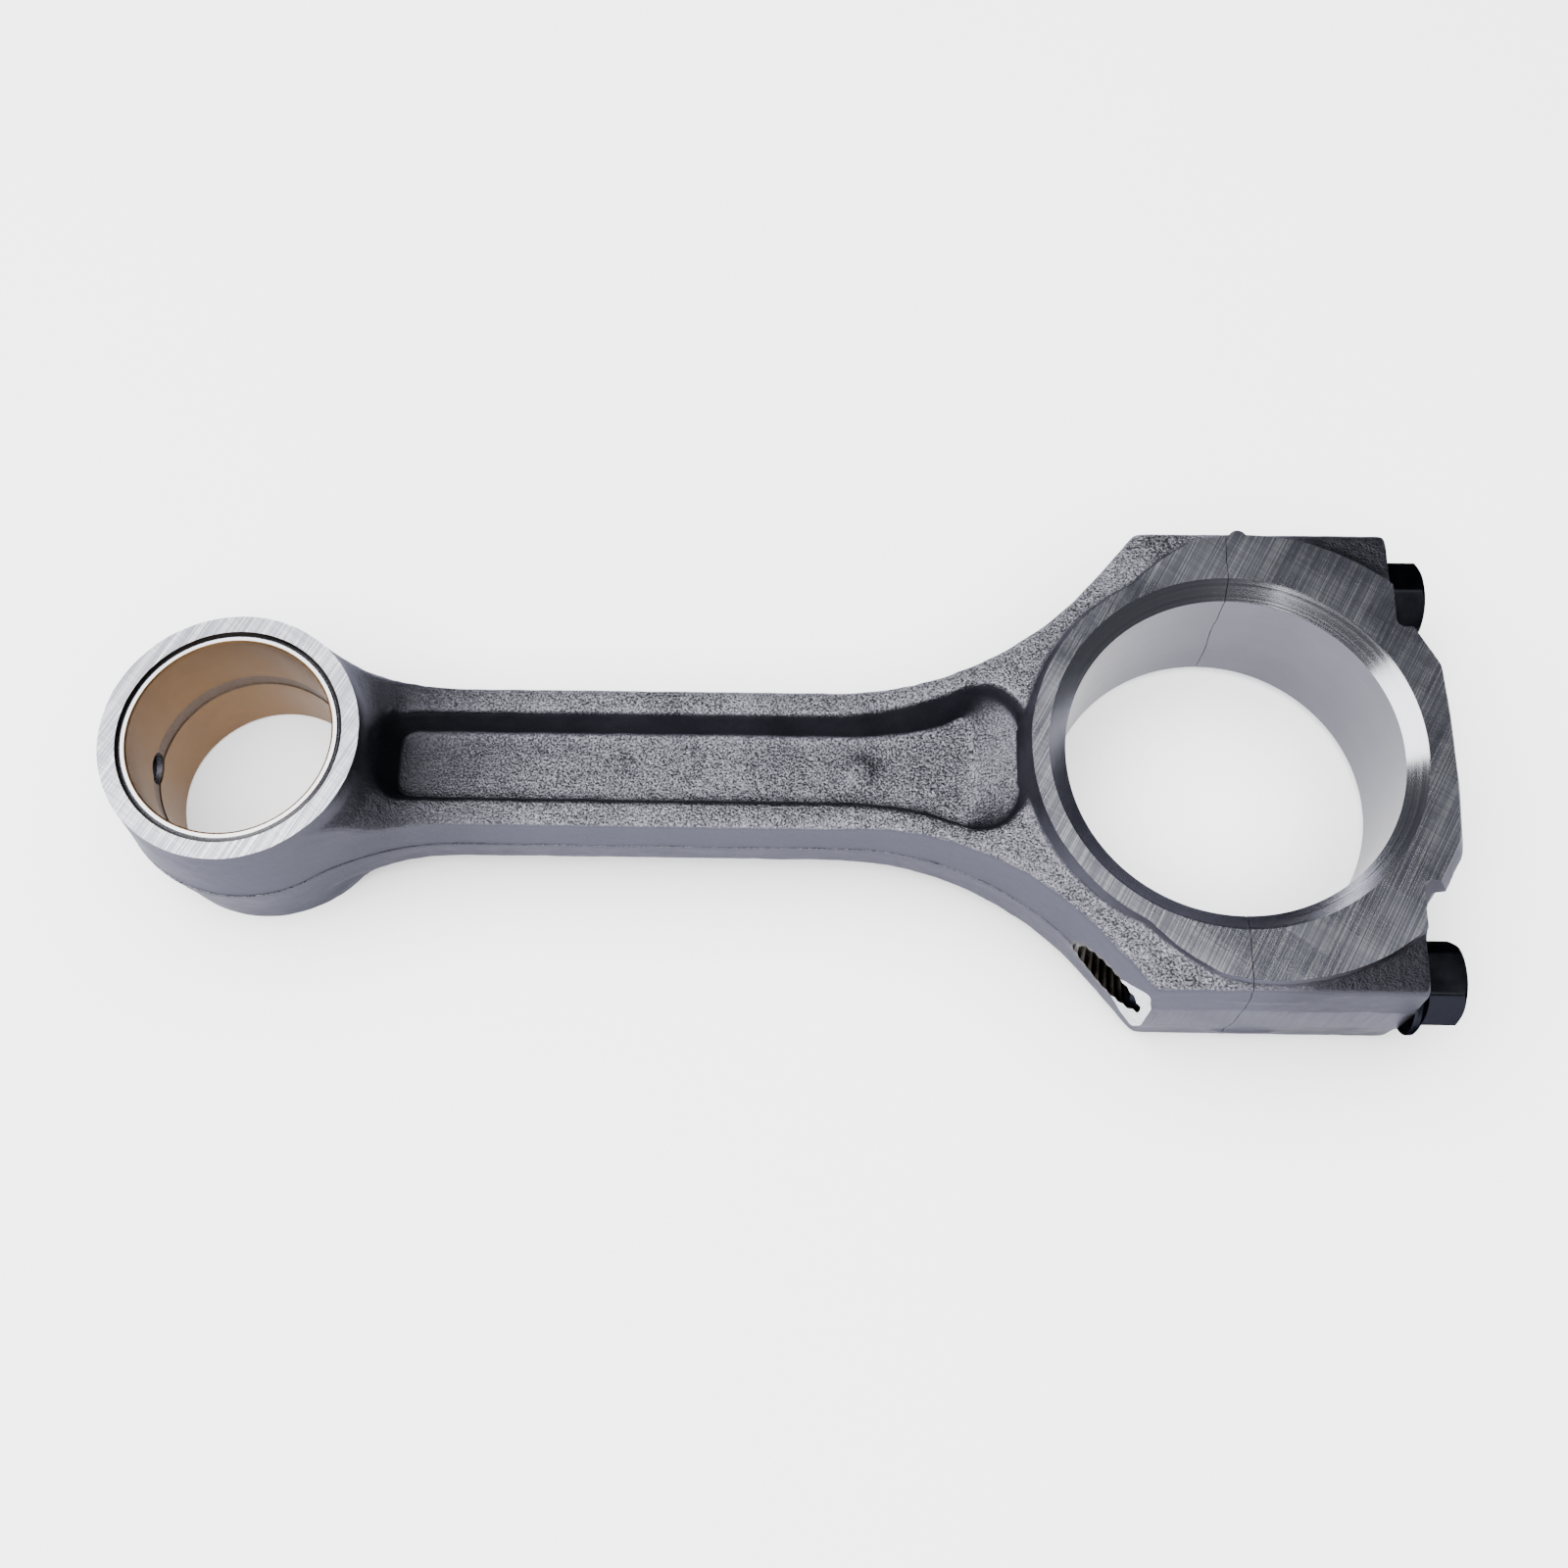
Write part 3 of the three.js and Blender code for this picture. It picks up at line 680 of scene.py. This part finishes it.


# A near-black painted shade, given to the walls of the tapped holes and to the eye's chamfer, where shade
# falls.
def painted_shade_black(material, place):
    blotches = grain(material, place, 1.1, 3)
    shades = {FACTOR: blotches, FIRST: linear("100f0e"), SECOND: linear("2b2723")}
    colour = add(material, "Mix", shades, data_type="RGBA").outputs[MIXED]
    roughness = add(material, "MapRange", {"Value": blotches, "To Min": 0.3, "To Max": 0.5})
    return colour, roughness, blotches, 0.05


forging_finishes = [
    metal("shot_blasted_forging", shot_blasted, "c6c6cc"),
    metal("ground_steel", ground),
    metal("bored_steel", bored),
    metal("keen_turned_steel", keen_turned),
    metal("milled_steel", milled, "d0d0d6"),
    metal("cracked_steel", cracked),
    metal("painted_shade_black_steel", painted_shade_black),
]
FORGED, GROUND, BORED, KEEN, MILLED, CRACKED, PAINTED_SHADE = range(7)
TOUCH, EXACT, SQUARE_ON = 0.1, 0.02, 0.99
RELIEF_REACH, BREAK_REACH = 13, 1.2


def finish_at(place, normal):
    """Which finish the tool that made a face left on it, from where the face lies and how it looks. The
    eye's chamfer and the tapped holes get a near-black painted shade.
    """
    x, y, z = (place - BORE_CENTRE) / MM
    from_bore, from_eye = math.hypot(x, y), math.hypot(x + CENTRES, y)
    from_hole = math.hypot(abs(y) - BOLT_Y, z)
    sloping = 0.4 < abs(normal.z) < 0.95
    if abs(normal.z) > SQUARE_ON and abs(z) > SMALL_FACE - EXACT:
        return GROUND
    relief_facing = normal.x * math.sin(RELIEF_TURN) - abs(normal.y) * math.cos(RELIEF_TURN)
    if abs(relief_facing + 1) < 0.0005 and abs(x - COLUMN_BACK) < RELIEF_REACH and abs(y) > STEP_Y:
        return GROUND
    if abs(normal.z) < 0.1 and (from_bore < bore_radius + TOUCH or from_eye < BUSH_RADIUS + TOUCH):
        return BORED
    if sloping and from_bore < face_radius + TOUCH:
        return KEEN
    # Painted shade: the eye's chamfer, in the groove beside the bush, is painted near-black.
    if sloping and from_eye < BUSH_RADIUS + 1.5:
        return PAINTED_SHADE
    # Painted shade: the walls of the tapped holes are painted near-black.
    in_hole = from_hole < HOLE_RADIUS + THREAD_DEPTH + TOUCH and x < SEAT - TOUCH
    if in_hole and abs(x) > BREAK_REACH and abs(y) < COLUMN_Y - TOUCH:
        return PAINTED_SHADE
    if math.hypot(y, z) < OIL_RADIUS + TOUCH and x < -CENTRES - BUSH_RADIUS + 0.5:
        return MILLED
    if abs(normal.x) > 0.5 and abs(x) < BREAK_REACH:
        return CRACKED
    if abs(normal.y) > 0.999 and abs(y) > COLUMN_Y - EXACT:
        return MILLED
    if abs(normal.x) > SQUARE_ON and abs(x - SEAT) < EXACT:
        return MILLED
    beside_step = STEP_Y - TOUCH < abs(y) < STEP_Y + SEAT_FILLET + TOUCH
    if x > SEAT and abs(normal.z) < 0.01 and beside_step:
        return MILLED
    return FORGED


def shade(piece, angle=32):
    """Smooth shading that keeps the edges that a tool left."""
    deselect()
    piece.select_set(True)
    bpy.context.view_layer.objects.active = piece
    bpy.ops.object.shade_smooth_by_angle(angle=math.radians(angle))


for piece, node, home in ((body, "rod_forging", "rod"), (cap, "rod_cap", "cap")):
    piece.data.materials.clear()
    for finish in forging_finishes:
        piece.data.materials.append(finish)
    for polygon in piece.data.polygons:
        polygon.material_index = finish_at(polygon.center, polygon.normal)
    shade(piece)
    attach(piece, home)
    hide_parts(node)

# Small-end bush: steel strip lined with bronze, rolled into a ring, pressed in and bored to size.
# The ends of the steel stay bright. The bronze has a groove that carries oil round from the hole.
lining_low, lining_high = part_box("bush_lining")
BUSH_HALF = (bush_high.z - bush_low.z) / 2 / MM
LINING_RADIUS = (lining_high.y - lining_low.y) / 2 / MM
PIN_RADIUS = 20.5
GROOVE_HALF, GROOVE_DEPTH = 2.2, 0.25
OUTER_BREAK, END_BREAK = 0.5, 0.22
EYE_GAP, LINING_GAP = 0.02, 0.01


def bush_layer(name, half):
    """One layer of the bush, from half of its closed profile, drilled through for oil."""
    layer = turned(name, mirrored(half), centre=(-CENTRES, 0, 0), steps=192)
    machine(layer, oil_drill())
    return layer


outer = [(LINING_RADIUS, -BUSH_HALF), (BUSH_RADIUS - OUTER_BREAK, -BUSH_HALF)]
outer.append((BUSH_RADIUS - EYE_GAP, -BUSH_HALF + OUTER_BREAK))
backing = bush_layer("bush_backing_visual", outer)
inner = [(LINING_RADIUS - LINING_GAP, BUSH_HALF), (PIN_RADIUS + END_BREAK, BUSH_HALF)]
inner += [(PIN_RADIUS, BUSH_HALF - END_BREAK), (PIN_RADIUS, GROOVE_HALF)]
inner.append((PIN_RADIUS + GROOVE_DEPTH, GROOVE_HALF - 0.2))
lining = bush_layer("bush_lining_visual", inner)


# Bronze bored to a satin finish is brown-gold, with soft cloudy stains.
def bronze(material, place):
    clouds = grain(material, place, 9, 4)
    rings = grain(material, place, 0.3, 2, (400, 400, 1))
    shades = {FACTOR: clouds, FIRST: linear("5e4229"), SECOND: linear("806443")}
    colour = add(material, "Mix", shades, data_type="RGBA").outputs[MIXED]
    spread = {"Value": clouds, "From Min": 0.3, "From Max": 0.7, "To Min": 0.42, "To Max": 0.52}
    return colour, add(material, "MapRange", spread), rings, 0.006


# The groove is rolled in before the strip is wrapped, and it keeps a dull grey-brown skin.
def groove_skin(material, place):
    blotches = grain(material, place, 0.8, 3)
    shades = {FACTOR: blotches, FIRST: linear("54463b"), SECOND: linear("7c6c60")}
    colour = add(material, "Mix", shades, data_type="RGBA").outputs[MIXED]
    roughness = add(material, "MapRange", {"Value": blotches, "To Min": 0.5, "To Max": 0.7})
    return colour, roughness, blotches, 0.03


# Strip steel faced on a lathe is the brightest of the metals.
def faced(material, place):
    rings = grain(material, place, 0.25, 2, (1, 1, 400))
    shades = {FACTOR: rings, FIRST: linear("dcdce2"), SECOND: linear("f4f4f6")}
    colour = add(material, "Mix", shades, data_type="RGBA").outputs[MIXED]
    roughness = add(material, "MapRange", {"Value": rings, "To Min": 0.22, "To Max": 0.34})
    return colour, roughness, rings, 0.006


bush_finishes = [
    metal("faced_strip_steel", faced),
    metal("bored_bronze", bronze),
    metal("groove_skin", groove_skin),
]
FACED, BRONZE, GROOVE = range(3)
for piece, node, slot in ((backing, "bush_backing", "bush_steel"), (lining, "bush_lining", "bronze")):
    piece.data.materials.clear()
    for finish in bush_finishes:
        piece.data.materials.append(finish)
    for polygon in piece.data.polygons:
        x, y, z = (polygon.center - BORE_CENTRE) / MM
        in_groove = math.hypot(x + CENTRES, y) > PIN_RADIUS + 0.06 and abs(z) < GROOVE_HALF + 0.1
        polygon.material_index = FACED if piece is backing else GROOVE if in_groove else BRONZE
    shade(piece)
    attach(piece, "rod")
    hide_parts(node)

# Cap bolts: M12 fine thread, a washer face under a flange, and a hexagon with a rounded end.
# They are cold headed from alloy steel, rolled, hardened and blackened in hot oxide salts.
TIP = (bolt_low.x - BORE_CENTRE.x) / MM
HEAD_TOP = (bolt_high.x - BORE_CENTRE.x) / MM
FLANGE_RADIUS = (bolt_high.y - bolt_low.y) / 2 / MM
THREAD_RADIUS, ROOT_DEPTH, THREAD_END = 5.95, 0.8, 2.0
TIP_BREAK, STEPS_PER_TURN = 1.0, 6
PLAIN_RADIUS = THREAD_RADIUS - 0.35
HEX_FLATS, FLANGE_RISE = 15, 3.0
HEX_CORNER = HEX_FLATS / math.sqrt(3)
HEX_TURN = {1: math.radians(8), -1: math.radians(-30)}
# The head's end rounds off by these (in from the corner, down from the end) pairs.
CROWN = ((-2, 2.2), (0.1, 1.5), (1.3, 0.6), (2.6, 0.1), (3.4, 0))


def cut_thread(stem, middle):
    """Draws a bolt's close rings in towards its axis along a screw line, to leave a thread."""
    for vertex in stem.data.vertices:
        across = vertex.co - middle
        along = across.x / MM
        if TIP + TIP_BREAK - 0.01 < along < THREAD_END and math.hypot(across.y, across.z) > 4 * MM:
            phase = (along / PITCH - math.atan2(across.z, across.y) / (2 * math.pi)) % 1
            cut = 1 - ROOT_DEPTH * (1 - abs(2 * phase - 1)) / THREAD_RADIUS
            vertex.co.y, vertex.co.z = middle.y + across.y * cut, middle.z + across.z * cut


def cap_bolt(side):
    """One bolt, its axis along X, drawn from tip to head, with the hexagon turned as it was left."""
    foot = (0, side * BOLT_Y, 0)
    rings = []
    height = TIP + TIP_BREAK
    while height < THREAD_END:
        rings.append((THREAD_RADIUS, height))
        height += PITCH / STEPS_PER_TURN
    profile = [(0, TIP), (THREAD_RADIUS - TIP_BREAK, TIP), *rings]
    profile += [(PLAIN_RADIUS, THREAD_END + 1), (PLAIN_RADIUS, SEAT - 1.2), (THREAD_RADIUS, SEAT)]
    profile += [(FLANGE_RADIUS - 0.3, SEAT), (FLANGE_RADIUS, SEAT + 0.3), (FLANGE_RADIUS, SEAT + 1.2)]
    profile += [(FLANGE_RADIUS - 0.4, SEAT + 1.7), (HEX_FLATS / 2 + 0.6, SEAT + FLANGE_RISE)]
    profile.append((0, SEAT + FLANGE_RISE))
    stem = turned("cap_bolt", profile, centre=foot, axis=(1, 0, 0), steps=72)
    cut_thread(stem, at(*foot))
    deselect()
    depth = HEAD_TOP - SEAT - 1
    bpy.ops.mesh.primitive_cylinder_add(vertices=6, radius=HEX_CORNER * MM, depth=depth * MM)
    hexagon = bpy.context.object
    for vertex in hexagon.data.vertices:
        angle = math.atan2(vertex.co.y, vertex.co.x) + HEX_TURN[side]
        out, up = HEX_CORNER * math.cos(angle), HEX_CORNER * math.sin(angle)
        vertex.co = at(HEAD_TOP - depth / 2 + vertex.co.z / MM, side * BOLT_Y + out, up)
    close_up(hexagon)
    settle(hexagon, "BEVEL", width=0.5 * MM, segments=3, limit_method="ANGLE")
    rounded = [(HEX_CORNER - inward, HEAD_TOP - down) for inward, down in CROWN]
    crown = [(0, TIP), (HEX_CORNER + 2, TIP), *rounded, (0, HEAD_TOP)]
    machine(hexagon, turned("crown", crown, centre=foot, axis=(1, 0, 0), steps=96), "INTERSECT")
    machine(stem, hexagon, "UNION")
    return stem


# Black oxide over steel is a near-black satin skin with a slight blue sheen.
def black_oxide(material, place):
    clouds = grain(material, place, 3.5, 4)
    skin = grain(material, place, 0.35, 2)
    shades = {FACTOR: clouds, FIRST: linear("1c1d21"), SECOND: linear("2a2b31")}
    colour = add(material, "Mix", shades, data_type="RGBA").outputs[MIXED]
    spread = {"Value": clouds, "From Min": 0.3, "From Max": 0.7, "To Min": 0.3, "To Max": 0.44}
    return colour, add(material, "MapRange", spread), skin, 0.02


oxide = metal("black_oxide", black_oxide, "48484e")
for side, node, home in ((1, "cap_bolt_left", "left_bolt"), (-1, "cap_bolt_right", "right_bolt")):
    bolt = cap_bolt(side)
    bolt.name = node + "_visual"
    bolt.data.materials.clear()
    bolt.data.materials.append(oxide)
    shade(bolt, 25)
    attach(bolt, home)
    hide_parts(node)
